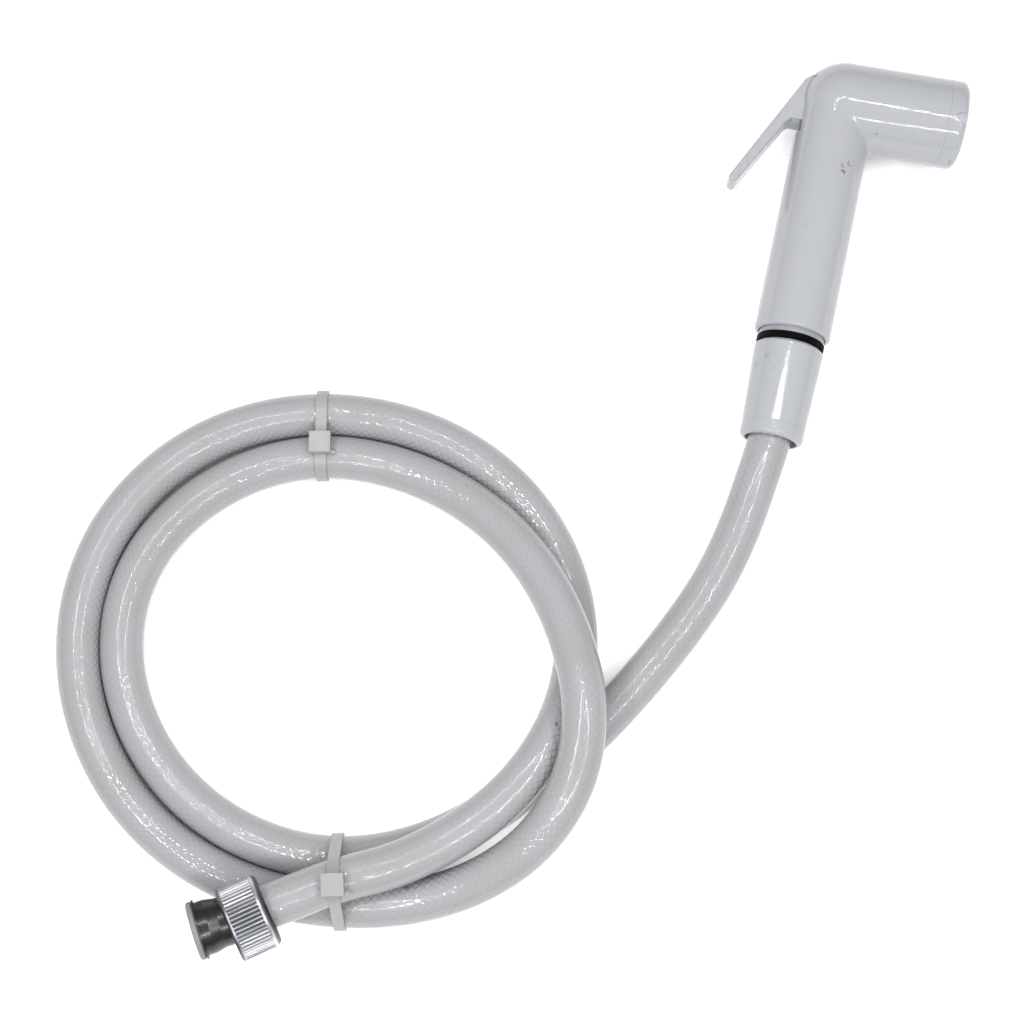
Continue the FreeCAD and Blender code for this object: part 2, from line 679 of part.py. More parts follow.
# Height of the hose's centre: the last half turn climbs the lead, and the first turn passes over both
LOOP_HEIGHTS = [
    (15, 7.0), (55, 7.2), (76, 8.6), (100, 7.0), (235, 7.0), (252, 8.6), (275, 8.9), (300, 12.5),
    (330, 20.8), (345, 26.2), (360, 30.9), (375, 31.2), (390, 24.6), (412, 12.9), (436, 8.7), (460, 7.0),
    (595, 7.0), (612, 8.6), (640, 7.0), (690, 7.0), (705, 7.7), (720, 15.8), (735, 22.4), (765, 21.8),
    (795, 21.6), (810, 22.0),
]
SUPPLY_END = (-140.56, -189.94, 27.26)
SUPPLY_HEADING = 211.3
SUPPLY_RISE = 6.0
SUPPLY_STRAIGHT = 26.0

lay = size("hose_radius") / LAID_RADIUS
hose_exit = elbow + Vector(0, size("nut_end"), 0)


def laid(across, along, height):
    return Vector(hose_exit.x + across * lay, hose_exit.y + along * lay, height * lay)


def between(keys, turned_by):
    # Smooth value between keys, by cubic pieces that share their slopes
    slopes = []
    for index in range(len(keys)):
        before = keys[max(index - 1, 0)]
        after = keys[min(index + 1, len(keys) - 1)]
        slopes.append((after[1] - before[1]) / (after[0] - before[0]))
    for index in range(len(keys) - 1):
        (start, low), (end, high) = keys[index], keys[index + 1]
        if start <= turned_by <= end:
            span = end - start
            share = (turned_by - start) / span
            return ((2 * share ** 3 - 3 * share ** 2 + 1) * low
                    + (share ** 3 - 2 * share ** 2 + share) * span * slopes[index]
                    + (3 * share ** 2 - 2 * share ** 3) * high
                    + (share ** 3 - share ** 2) * span * slopes[index + 1])
    raise ValueError("a turn lies outside the keys")


def loop_point(turned_by):
    angle = -math.radians(turned_by)
    radius = between(LOOP_RADII, turned_by)
    height = max(LAID_RADIUS, between(LOOP_HEIGHTS, turned_by))
    return laid(LOOP_CENTRE[0] + radius * math.cos(angle), LOOP_CENTRE[1] + radius * math.sin(angle), height)


heading = math.radians(SUPPLY_HEADING)
rise = math.radians(SUPPLY_RISE)
supply_out = Vector(math.cos(heading) * math.cos(rise), math.sin(heading) * math.cos(rise), math.sin(rise))
supply_end = laid(*SUPPLY_END)
upper_flange = elbow + Vector(0, size("flange_face"), 0)
hose_in_end = size("insert_collar + hose_gap")
straight_drop = size("upper_ferrule_length + hose_lead_straight")
lead_route = [upper_flange - Vector(0, hose_in_end, 0), upper_flange - Vector(0, straight_drop, 0)]
lead_route += [laid(*point) for point in LEAD_POINTS]
loop_route = [loop_point(turned_by) for turned_by in range(LOOP_START, LOOP_END + 1, LOOP_STEP)]
tail_route = [supply_end - supply_out * SUPPLY_STRAIGHT, supply_end - supply_out * hose_in_end]
route = lead_route + loop_route + tail_route


def rounded_path(points):
    # Straight runs joined by tangent arcs, each as large as its two runs allow
    pieces = []
    start = points[0]
    for before, corner, after in zip(points, points[1:], points[2:]):
        inward = (corner - before).normalize()
        outward = (after - corner).normalize()
        half_turn = inward.getAngle(outward) / 2
        reach = 0.45 * min((corner - before).Length, (after - corner).Length)
        arc_start = corner - inward * reach
        arc_end = corner + outward * reach
        radius = reach / math.tan(half_turn)
        bisector = (outward - inward).normalize()
        arc_middle = corner + bisector * (radius / math.cos(half_turn) - radius)
        pieces.append([Part.LineSegment(start, arc_start).toShape()])
        pieces.append([Part.Arc(arc_start, arc_middle, arc_end).toShape(), radius])
        start = arc_end
    pieces.append([Part.LineSegment(start, points[-1]).toShape()])
    return pieces


def split_path(pieces, runs):
    # Cuts the path in the middle of the numbered straight runs
    wires = []
    current = []
    for number, piece in enumerate(pieces):
        edge = piece[0]
        if number % 2 == 0 and number // 2 in runs:
            head, tail = edge.Vertexes[0].Point, edge.Vertexes[-1].Point
            middle = (head + tail) * 0.5
            current.append(Part.LineSegment(head, middle).toShape())
            wires.append(Part.Wire(current))
            current = [Part.LineSegment(middle, tail).toShape()]
        else:
            current.append(edge)
    wires.append(Part.Wire(current))
    return wires


path = rounded_path(route)
radii = [round(piece[1]) for piece in path if len(piece) == 2]
print("bend radii", radii)
lead_runs = len(lead_route) - 1
loop_runs = lead_runs + len(loop_route)
wires = split_path(path, (lead_runs, loop_runs))
print("hose length", round(sum(wire.Length for wire in wires), 1))


def hose_stretch(name, wire):
    # A round bar swept along one stretch of the route
    spine = document.addObject("Part::Feature", name + "_path")
    spine.Shape = wire
    start = wire.OrderedEdges[0]
    way = start.tangentAt(start.FirstParameter)
    section = document.addObject("Part::Circle", name + "_section")
    bind(section, "Radius", "hose_radius")
    section.Placement = Placement(wire.OrderedVertexes[0].Point, Rotation(Vector(0, 0, 1), way))
    sweep = document.addObject("Part::Sweep", name + "_bar")
    sweep.Sections = [section]
    sweep.Spine = (spine, [f"Edge{n + 1}" for n in range(len(wire.Edges))])
    sweep.Solid = True
    sweep.Frenet = False
    document.recompute()
    expected = math.pi * size("hose_radius") ** 2 * wire.Length
    print(name, "volume over section times length", round(sweep.Shape.Volume / expected, 4))
    return sweep


def end_frame(point, outward):
    # A frame whose +Y axis points out of a hose end
    return Placement(point, Rotation(Vector(0, 1, 0), outward))


def drilled_end(name, bar, frame):
    # The bore that the barbed insert fills
    drill = document.addObject("Part::Cylinder", name + "_end_bore")
    bind(drill, "Radius", "insert_radius + hose_gap")
    bind(drill, "Height", "insert_length + 1")
    base = frame.multVec(Vector(0, -size("insert_length") - 0.5, 0))
    drill.Placement = Placement(base, frame.Rotation.multiply(Rotation(Vector(0, 0, 1), Vector(0, 1, 0))))
    cut = document.addObject("Part::Cut", name)
    cut.Label = name
    cut.Base = bar
    cut.Tool = drill
    return cut


upper_frame = end_frame(upper_flange, Vector(0, 1, 0))
supply_frame = end_frame(supply_end, supply_out)
hose_lead = drilled_end("hose_lead", hose_stretch("hose_lead", wires[0]), upper_frame)
hose_coil = hose_stretch("hose_coil", wires[1])
hose_tail = drilled_end("hose_tail", hose_stretch("hose_tail", wires[2]), supply_frame)


# Hose ends: a barbed insert inside the hose and a flanged ferrule crimped over it
def hose_end(prefix, frame, length):
    turned(prefix + "_ferrule", [
        ("ferrule_front_radius - ferrule_sheet", "0"),
        ("ferrule_flange_radius", "0"),
        ("ferrule_flange_radius", "-ferrule_sheet"),
        ("ferrule_front_radius", "-ferrule_sheet"),
        ("ferrule_front_radius", "-ferrule_shoulder"),
        ("ferrule_radius", "-ferrule_neck"),
        ("ferrule_radius", "-" + length),
        ("ferrule_radius - ferrule_sheet", "-" + length),
        ("ferrule_radius - ferrule_sheet", "-ferrule_neck"),
        ("ferrule_front_radius - ferrule_sheet", "-ferrule_shoulder"),
    ], frame)
    turned(prefix + "_insert", [
        ("insert_bore_radius", "0"),
        ("ferrule_front_radius - ferrule_sheet - hose_gap", "0"),
        ("ferrule_front_radius - ferrule_sheet - hose_gap", "-insert_collar"),
        ("insert_radius", "-insert_collar"),
        ("insert_radius", "-insert_length"),
        ("insert_bore_radius", "-insert_length"),
    ], frame)


def flat_washer(name, frame, thickness):
    return turned(name, [
        ("washer_bore_radius", "face_gap"),
        ("washer_radius - washer_edge", "face_gap"),
        ("washer_radius", "washer_edge"),
        ("washer_radius", f"{thickness} - washer_edge"),
        ("washer_radius - washer_edge", thickness),
        ("washer_bore_radius", thickness),
    ], frame)


hose_end("upper", upper_frame, "upper_ferrule_length")
hose_end("supply", supply_frame, "lower_ferrule_length")
flat_washer("upper_washer", upper_frame, "upper_washer_thickness - face_gap")
flat_washer("supply_washer", supply_frame, "supply_washer_thickness")

# Supply nut: a thin ribbed ring nut, slid back along the ferrule and hanging a little askew
supply_nut = turned("supply_nut", [
    ("supply_thread_radius", "0"),
    ("supply_nut_radius - supply_nut_front_edge", "0"),
    ("supply_nut_radius", "-supply_nut_front_edge"),
    ("supply_nut_radius", "-supply_nut_length + supply_nut_front_edge + supply_nut_shoulder_length"),
    ("supply_nut_radius - supply_nut_shoulder", "-supply_nut_length + supply_nut_front_edge"),
    ("supply_nut_radius - supply_nut_shoulder * 2", "-supply_nut_length"),
    ("supply_nut_hole_radius", "-supply_nut_length"),
    ("supply_nut_hole_radius", "-supply_nut_length + supply_nut_back"),
    ("supply_thread_radius", "-supply_nut_length + supply_nut_back"),
])
rib_gap = supply_nut.newObject("PartDesign::SubtractiveBox", "rib_gap")
bind(rib_gap, "Length", "rib_depth * sqrt(2)")
bind(rib_gap, "Width", "supply_nut_length - rib_front_margin - rib_back_margin")
bind(rib_gap, "Height", "rib_depth * sqrt(2)")
rib_gap.Placement = Placement(Vector(), Rotation(Vector(0, 1, 0), 45))
bind(rib_gap, "Placement.Base.x", "supply_nut_radius - rib_depth")
bind(rib_gap, "Placement.Base.y", "-supply_nut_length + rib_back_margin")
polar(supply_nut, "ribs", rib_gap, (plane(supply_nut, "Y_Axis"), [""]), int(size("rib_count")))
document.recompute()
sideways = supply_out.cross(Vector(0, 0, 1)).normalize()
nut_tilt = Rotation(Vector(0, 0, 1), size("supply_nut_tilt"))
nut_out = nut_tilt.multVec(supply_out)
nut_middle = supply_end - supply_out * size("supply_nut_setback + supply_nut_length / 2")
nut_middle += sideways * size("supply_nut_drop") * (-1 if sideways.y > 0 else 1)
nut_face = nut_middle + nut_out * size("supply_nut_length / 2")
supply_nut.Placement = end_frame(nut_face, nut_out)


# Hose ties: a strap drawn round the strands that it holds, with its locking head on top
def strap_outline(centres, radius):
    # The line round equal circles, given in order round their own outline, as lines and arcs
    count = len(centres)
    edges = []
    normals = []
    for index, centre in enumerate(centres):
        way = (centres[(index + 1) % count] - centre).normalize()
        normals.append(Vector(way.y, -way.x, 0))
    for index, centre in enumerate(centres):
        following = centres[(index + 1) % count]
        first, second = normals[index], normals[(index + 1) % count]
        edges.append(Part.LineSegment(centre + first * radius, following + first * radius).toShape())
        middle = first + second
        if middle.Length < 0.01:
            middle = (following - centre).normalize()
        middle = middle.normalize()
        edges.append(Part.Arc(following + first * radius, following + middle * radius,
                              following + second * radius).toShape())
    return Part.Face(Part.Wire(edges))


def strand_centres(place, across, along):
    # Where the hose's path passes through the upright plane of a tie, in the tie's own plane
    centres = []
    for wire in wires:
        points = wire.discretize(Distance=1.0)
        for first, second in zip(points, points[1:]):
            before, after = (first - place).dot(along), (second - place).dot(along)
            share = before / (before - after) if before != after else 0
            crossing_point = first + (second - first) * share
            reach = (crossing_point - place).dot(across)
            if before * after <= 0 and abs(reach) < 4 * size("hose_radius"):
                centres.append(Vector(reach, crossing_point.z, 0))
    return centres


def tie_order(centres):
    # Round their own outline, against the clock
    middle = sum(centres, Vector()) * (1 / len(centres))
    return sorted(centres, key=lambda centre: math.atan2(centre.y - middle.y, centre.x - middle.x))


def hose_tie(name, place, heading, hose_parts):
    # A strap drawn round the strands in its plane, with the head on top
    angle = math.radians(heading)
    across = Vector(math.cos(angle), math.sin(angle), 0)
    along = Vector(0, 0, 1).cross(across) * -1
    centres = tie_order(strand_centres(place, across, along))
    inner = size("hose_radius + tie_gap")
    outer = inner + size("tie_sheet")
    width = size("tie_width")
    strap = strap_outline(centres, outer).cut(strap_outline(centres, inner)).extrude(Vector(0, 0, width))
    strap.translate(Vector(0, 0, -width / 2))
    side = size("tie_head_side")
    head_height = size("tie_head_height")
    sheet_thickness = size("tie_sheet")
    low = max(centre.y for centre in centres) + inner + 0.02
    head = Part.makeBox(side, head_height, side, Vector(-side / 2, low, -side / 2))
    window = Part.makeBox(side, sheet_thickness, width,
                          Vector(-side * 0.2, low + head_height - 2 * sheet_thickness, -width / 2))
    spur = Part.makeBox(sheet_thickness, sheet_thickness, side / 2 + size("tie_spur"),
                        Vector(-side / 2, low + sheet_thickness, 0))
    tie = strap.fuse([head.cut(window), spur]).removeSplitter()
    tie.Placement = Placement(FreeCAD.Matrix(across.x, 0, along.x, place.x,
                                             across.y, 0, along.y, place.y,
                                             0, 1, 0, 0,
                                             0, 0, 0, 1))
    for part in hose_parts:
        tie = tie.cut(part.Shape)
    feature = document.addObject("Part::Feature", name)
    feature.Label = name
    feature.Shape = tie
    return feature


# Places of the ties from the middle of the loops, and the headings of their planes
TOP_TIE = (-19.4, 64.5)
TOP_TIE_HEADING = 102.6
BOTTOM_TIE = (18.6, -70.5)
BOTTOM_TIE_HEADING = 105.0
top_place = laid(LOOP_CENTRE[0] + TOP_TIE[0], LOOP_CENTRE[1] + TOP_TIE[1], 0)
bottom_place = laid(LOOP_CENTRE[0] + BOTTOM_TIE[0], LOOP_CENTRE[1] + BOTTOM_TIE[1], 0)
hose_tie("tie_top", top_place, TOP_TIE_HEADING, [hose_coil])
hose_tie("tie_bottom", bottom_place, BOTTOM_TIE_HEADING, [hose_coil, hose_tail])
document.recompute()

# Every node, with the object that carries its final shape
NODES = [body.Label for body in handset_bodies]
NODES += ["upper_ferrule", "upper_insert", "upper_washer", "hose_lead", "hose_coil", "hose_tail"]
NODES += ["supply_ferrule", "supply_insert", "supply_washer", "supply_nut", "tie_top", "tie_bottom"]
CARRIERS = {"hose_coil": "hose_coil_bar"}

for thing in document.Objects:
    if "Invalid" in thing.State or "Error" in thing.State:
        raise RuntimeError(f"{thing.Name} did not build: {thing.State}")

os.makedirs("parts", exist_ok=True)
for name in NODES:
    shape = document.getObject(CARRIERS.get(name, name)).Shape
    if shape.isNull() or not shape.isValid() or shape.Volume <= 0:
        raise RuntimeError(f"{name} has no sound shape")
    shape.exportStep(f"parts/{name}.step")

print("elbow centre", elbow)
print("hose exit", hose_exit)
print("pivot", elbow + Vector(-size("pivot_x"), size("pivot_y"), 0))
print("supply washer front", supply_frame.multVec(Vector(0, size("supply_washer_thickness"), 0)), supply_out)
print("supply nut axis", nut_face, nut_out)
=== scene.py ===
"""A white hand shower with a thumb lever, lying on a pale table with its hose in two loose turns."""

import math

import bpy
from mathutils import Matrix, Vector


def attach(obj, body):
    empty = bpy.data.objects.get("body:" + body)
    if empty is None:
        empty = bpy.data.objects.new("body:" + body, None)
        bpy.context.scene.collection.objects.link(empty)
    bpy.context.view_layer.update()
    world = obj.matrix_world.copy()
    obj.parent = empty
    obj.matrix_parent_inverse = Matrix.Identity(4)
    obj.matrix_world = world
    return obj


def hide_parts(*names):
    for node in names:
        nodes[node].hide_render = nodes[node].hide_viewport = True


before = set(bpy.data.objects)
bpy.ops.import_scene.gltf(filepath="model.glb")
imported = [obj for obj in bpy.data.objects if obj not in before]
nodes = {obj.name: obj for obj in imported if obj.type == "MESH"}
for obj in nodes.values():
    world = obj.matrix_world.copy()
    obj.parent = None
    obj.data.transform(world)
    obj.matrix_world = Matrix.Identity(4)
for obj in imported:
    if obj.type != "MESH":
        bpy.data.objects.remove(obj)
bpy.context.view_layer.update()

scene = bpy.context.scene

MM = 0.001

# ---------------------------------------------------------------- camera

CAMERA_PLACE = Vector((-56.85, -220.63, 627.0)) * MM
CAMERA_TARGET = Vector((-82.54, -105.58, 0.0)) * MM
IMAGE_UP = Vector((-0.218, 0.976, 0.0))
LENS = 68.0
SENSOR = 36.0


def aimed(place, target, upward):
    """Placement of something that looks along its own -Z at the target."""
    back = (place - target).normalized()
    right = upward.cross(back).normalized()
    turn = Matrix((right, back.cross(right), back)).transposed()
    return Matrix.Translation(place) @ turn.to_4x4()


camera_data = bpy.data.cameras.new("camera")
camera_data.lens = LENS
camera_data.sensor_width = SENSOR
camera = bpy.data.objects.new("camera", camera_data)
camera.matrix_world = aimed(CAMERA_PLACE, CAMERA_TARGET, IMAGE_UP)
scene.collection.objects.link(camera)
scene.camera = camera

# ---------------------------------------------------------------- hose

HOSE_RADIUS = 7.0 * MM
HOSE_EXIT = Vector((-5.255, -67.055, 14.65)) * MM
HOSE_START = [(0.0, 15.35, 14.65), (0.0, 2.4, 14.65)]
LEAD_POINTS = [
    (-1.9, -14.0, 14.5),
    (-3.9, -30.0, 12.8),
    (-7.9, -47.5, 10.2),
    (-15.4, -66.0, 8.1),
    (-25.2, -85.5, 7.0),
    (-37.8, -106.5, 7.0),
    (-51.0, -122.2, 7.0),
]
LOOP_CENTRE = (-122.56, -97.53)
LOOP_START = 30
LOOP_STEP = 15
LOOP_END = 795
LAID_RADIUS = 7.0
# Radius of the loops against the degrees turned
LOOP_RADII = [
    (15, 79.9), (30, 72.0), (45, 68.6), (60, 66.5), (100, 64.2), (135, 65.7), (185, 70.3), (225, 67.2),
    (272, 64.0), (295, 65.0), (315, 68.0), (340, 74.0), (360, 82.0), (382, 88.7), (405, 86.2), (430, 80.5),
    (455, 78.5), (495, 80.6), (550, 84.7), (585, 82.8), (620, 78.9), (675, 79.3), (705, 78.5), (740, 73.7),
    (765, 70.3), (795, 71.5), (810, 73.0),
]
# Height of the hose's middle against the degrees turned
LOOP_HEIGHTS = [
    (15, 7.0), (55, 7.2), (76, 8.6), (100, 7.0), (235, 7.0), (252, 8.6), (275, 8.9), (300, 12.5),
    (330, 20.8), (345, 26.2), (360, 30.9), (375, 31.2), (390, 24.6), (412, 12.9), (436, 8.7), (460, 7.0),
    (595, 7.0), (612, 8.6), (640, 7.0), (690, 7.0), (705, 7.7), (720, 15.8), (735, 22.4), (765, 21.8),
    (795, 21.6), (810, 22.0),
]
SUPPLY_END = Vector((-140.56, -189.94, 27.26))
SUPPLY_OUT = Vector((-0.849778, -0.516673, 0.104528))
SUPPLY_STRAIGHT = 26.0
SUPPLY_HIDDEN = 1.55
LINE_RESOLUTION = 24


def between(keys, turned_by):
    """Smooth value between keys, by cubic pieces that share their slopes."""
    slopes = []
    for index in range(len(keys)):
        before = keys[max(index - 1, 0)]
        after = keys[min(index + 1, len(keys) - 1)]
        slopes.append((after[1] - before[1]) / (after[0] - before[0]))
    for index in range(len(keys) - 1):
        (start, low), (end, high) = keys[index], keys[index + 1]
        if start <= turned_by <= end:
            span = end - start
            share = (turned_by - start) / span
            return ((2 * share ** 3 - 3 * share ** 2 + 1) * low
                    + (share ** 3 - 2 * share ** 2 + share) * span * slopes[index]
                    + (3 * share ** 2 - 2 * share ** 3) * high
                    + (share ** 3 - share ** 2) * span * slopes[index + 1])
    raise ValueError("a turn lies outside the keys")


def loop_point(turned_by):
    """Place on the loops after so many degrees, in millimetres from the exit."""
    angle = -math.radians(turned_by)
    radius = between(LOOP_RADII, turned_by)
    height = max(LAID_RADIUS, between(LOOP_HEIGHTS, turned_by))
    return LOOP_CENTRE[0] + radius * math.cos(angle), LOOP_CENTRE[1] + radius * math.sin(angle), height


def from_exit(point):
    """Metres in the part's frame, for millimetres across and along from the exit and up from the table."""
    across, along, height = point
    return Vector((HOSE_EXIT.x + across * MM, HOSE_EXIT.y + along * MM, height * MM))


route = HOSE_START + LEAD_POINTS
route += [loop_point(turned_by) for turned_by in range(LOOP_START, LOOP_END + 1, LOOP_STEP)]
route += [SUPPLY_END - SUPPLY_OUT * SUPPLY_STRAIGHT, SUPPLY_END - SUPPLY_OUT * SUPPLY_HIDDEN]


def smooth_line(name, points, resolution):
    """Points along the smooth line that the control points pull."""
    data = bpy.data.curves.new(name, "CURVE")
    data.dimensions = "3D"
    data.resolution_u = resolution
    spline = data.splines.new("NURBS")
    spline.points.add(len(points) - 1)
    for control, place in zip(spline.points, points):
        control.co = (*place, 1.0)
    spline.order_u = 3
    spline.use_endpoint_u = True
    holder = bpy.data.objects.new(name, data)
    scene.collection.objects.link(holder)
    bpy.context.view_layer.update()
    mesh = bpy.data.meshes.new_from_object(holder)
    line = [vertex.co.copy() for vertex in mesh.vertices]
    bpy.data.meshes.remove(mesh)
    bpy.data.objects.remove(holder)
    bpy.data.curves.remove(data)
    return line


def evenly(line, step):
    """The same line as places that all lie one step apart."""
    places = [line[0]]
    ahead = step
    for start, end in zip(line, line[1:]):
        run = (end - start).length
        while ahead <= run:
            places.append(start.lerp(end, ahead / run))
            ahead += step
        ahead -= run
    return places


def directions(line):
    """Direction along the line, and one across it that doesn't twist, for each place."""
    across = Vector((0.0, 0.0, 1.0))
    found = []
    for index in range(len(line)):
        along = (line[min(index + 1, len(line) - 1)] - line[max(index - 1, 0)]).normalized()
        across = (across - along * across.dot(along)).normalized()
        found.append((along, across))
    return found


def new_piece(name, vertices, faces):
    """Smooth mesh object in the scene."""
    mesh = bpy.data.meshes.new(name)
    mesh.from_pydata(vertices, [], faces)
    mesh.polygons.foreach_set("use_smooth", [True] * len(mesh.polygons))
    piece = bpy.data.objects.new(name, mesh)
    scene.collection.objects.link(piece)
    return piece


# The clear jacket lies over a braid of diamonds: their middles stand up a little, their edges lie lower
BRAID_AROUND = 16
BRAID_PITCH = 2.8 * MM
BRAID_RELIEF = 0.03 * MM
BRAID_FALLOFF = 0.7
RINGS_PER_DIAMOND = 4
SIDES_PER_DIAMOND = 3


def braid_height(along, around):
    """1 in the middle of a diamond and 0 on its edges, for places counted in diamonds."""
    edges = (abs(math.sin(math.pi * (along + around))), abs(math.sin(math.pi * (along - around))))
    return min(edges) ** BRAID_FALLOFF


def braided_tube(name, line):
    """Tube round the line with the braid's relief; its UV map counts diamonds."""
    sides = BRAID_AROUND * SIDES_PER_DIAMOND
    vertices = []
    for ring, (place, (along, across)) in enumerate(zip(line, directions(line))):
        third = along.cross(across)
        for side in range(sides):
            turn = 2 * math.pi * side / sides
            height = braid_height(ring / RINGS_PER_DIAMOND, side / SIDES_PER_DIAMOND)
            reach = HOSE_RADIUS + BRAID_RELIEF * (height - 1)
            vertices.append(place + (across * math.cos(turn) + third * math.sin(turn)) * reach)
    faces = []
    counted = []
    for ring in range(len(line) - 1):
        for side in range(sides):
            here, there = ring * sides, (ring + 1) * sides
            after = (side + 1) % sides
            faces.append((here + side, here + after, there + after, there + side))
            for ring_at, side_at in ((ring, side), (ring, side + 1), (ring + 1, side + 1), (ring + 1, side)):
                counted.append((ring_at / RINGS_PER_DIAMOND, side_at / SIDES_PER_DIAMOND))
    last = (len(line) - 1) * sides
    faces.append(tuple(reversed(range(sides))))
    faces.append(tuple(range(last, last + sides)))
    counted += [(0.0, 0.0)] * (2 * sides)
    piece = new_piece(name, vertices, faces)
    layer = piece.data.uv_layers.new(name="braid")
    layer.data.foreach_set("uv", [number for pair in counted for number in pair])
    return piece


hose_line = smooth_line("hose_line", [from_exit(point) for point in route], LINE_RESOLUTION)
hose_places = evenly(hose_line, BRAID_PITCH / RINGS_PER_DIAMOND)
hose = braided_tube("hose", hose_places)
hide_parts("hose_lead", "hose_coil", "hose_tail")
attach(hose, "handset_and_hose")

# ---------------------------------------------------------------- materials


def new_material(name, colour, roughness, metallic=0.0):
    """Material with one Principled shader; returns the material, its node tree and the shader."""
    made = bpy.data.materials.new(name)
    made.use_nodes = True
    tree = made.node_tree
    shader = tree.nodes["Principled BSDF"]
    shader.inputs["Base Color"].default_value = (*colour, 1.0)
    shader.inputs["Roughness"].default_value = roughness
    shader.inputs["Metallic"].default_value = metallic
    made.diffuse_color = (*colour, 1.0)
    return made, tree, shader


def object_place(tree):
    """Socket with the surface's place in the part's frame, in metres."""
    return tree.nodes.new("ShaderNodeTexCoord").outputs["Object"]


def noise(tree, scale, detail=3.0):
    """Socket with soft noise; scale is in cells per metre."""
    node = tree.nodes.new("ShaderNodeTexNoise")
    node.inputs["Scale"].default_value = scale
    node.inputs["Detail"].default_value = detail
    tree.links.new(object_place(tree), node.inputs["Vector"])
    return node.outputs["Fac"]


def calculate(tree, operation, first, second=None):
    """Socket with a sum, product or the like of sockets and numbers."""
    node = tree.nodes.new("ShaderNodeMath")
    node.operation = operation
    for socket, value in zip(node.inputs, (first, second)):
        if value is None:
            continue
        if isinstance(value, (int, float)):
            socket.default_value = value
        else:
            tree.links.new(value, socket)
    return node.outputs["Value"]


def ranged(tree, value, low, high, to_low=0.0, to_high=1.0):
    """Socket that eases from to_low to to_high while the value goes from low to high."""
    node = tree.nodes.new("ShaderNodeMapRange")
    node.interpolation_type = "SMOOTHSTEP"
    for name, number in (("From Min", low), ("From Max", high), ("To Min", to_low), ("To Max", to_high)):
        node.inputs[name].default_value = number
    tree.links.new(value, node.inputs["Value"])
    return node.outputs["Result"]


def mixed(tree, share, first, second):
    """Socket with a colour between two colours, each a socket or three numbers."""
    node = tree.nodes.new("ShaderNodeMix")
    node.data_type = "RGBA"
    if isinstance(share, (int, float)):
        node.inputs[0].default_value = share
    else:
        tree.links.new(share, node.inputs[0])
    for socket, colour in ((node.inputs[6], first), (node.inputs[7], second)):
        if isinstance(colour, tuple):
            socket.default_value = (*colour, 1.0)
        else:
            tree.links.new(colour, socket)
    return node.outputs[2]


def bumped(tree, shader, height, depth):
    """Gives the shader a bump of that depth, in metres, from a height socket of 0 to 1."""
    node = tree.nodes.new("ShaderNodeBump")
    node.inputs["Strength"].default_value = 1.0
    node.inputs["Distance"].default_value = depth
    tree.links.new(height, node.inputs["Height"])
    tree.links.new(node.outputs["Normal"], shader.inputs["Normal"])


SPOT_RAGGED = 0.35
SPOT_NOISE = 1600.0


def spot(tree, place, size):
    """Socket that is 1 in a ragged spot at a place, fading over its edge; size is its three half widths."""
    offset = tree.nodes.new("ShaderNodeVectorMath")
    offset.operation = "SUBTRACT"
    tree.links.new(object_place(tree), offset.inputs[0])
    offset.inputs[1].default_value = place
    shrunk = tree.nodes.new("ShaderNodeVectorMath")
    shrunk.operation = "DIVIDE"
    tree.links.new(offset.outputs["Vector"], shrunk.inputs[0])
    shrunk.inputs[1].default_value = size
    length = tree.nodes.new("ShaderNodeVectorMath")
    length.operation = "LENGTH"
    tree.links.new(shrunk.outputs["Vector"], length.inputs[0])
    wobble = calculate(tree, "MULTIPLY", noise(tree, SPOT_NOISE), SPOT_RAGGED * 2)
    distance = calculate(tree, "ADD", length.outputs["Value"], wobble)
    return ranged(tree, distance, 1.35 + SPOT_RAGGED, 0.6 + SPOT_RAGGED)


def marked(tree, shader, tint, marks):
    """Paints marks over a tint; each mark is a place and half widths in millimetres, a colour and a strength."""
    for place, widths, colour, strength in marks:
        there = spot(tree, [number * MM for number in place], [number * MM for number in widths])
        tint = mixed(tree, calculate(tree, "MULTIPLY", there, strength), tint, colour)
    tree.links.new(tint, shader.inputs["Base Color"])


WAVE_DEPTH = 0.004 * MM
PEEL_AGAINST_WAVE = 8.0


def moulded(name, colour, roughness, shade=0.985):
    """Injection moulded plastic: slightly uneven in colour, with a faint wave and a fine peel."""
    made, tree, shader = new_material(name, colour, roughness)
    darker = tuple(channel * shade for channel in colour)
    tint = mixed(tree, ranged(tree, noise(tree, 60.0), 0.35, 0.65), colour, darker)
    tree.links.new(tint, shader.inputs["Base Color"])
    tree.links.new(ranged(tree, noise(tree, 220.0), 0.3, 0.7, roughness * 0.9, roughness * 1.15),
                   shader.inputs["Roughness"])
    peel = calculate(tree, "MULTIPLY", noise(tree, 800.0, 1.0), PEEL_AGAINST_WAVE)
    bumped(tree, shader, calculate(tree, "ADD", noise(tree, 130.0, 1.0), peel), WAVE_DEPTH)
    return made, tree, shader, tint


WHITE_PLASTIC = (0.535, 0.548, 0.583)
white_shell, shell_tree, shell_shader, shell_tint = moulded("white_shell", WHITE_PLASTIC, 0.075)
white_lever, lever_tree, lever_shader, lever_tint = moulded("white_lever", WHITE_PLASTIC, 0.12)
white_cone, cone_tree, cone_shader, cone_tint = moulded("white_cone", (0.535, 0.550, 0.585), 0.09)

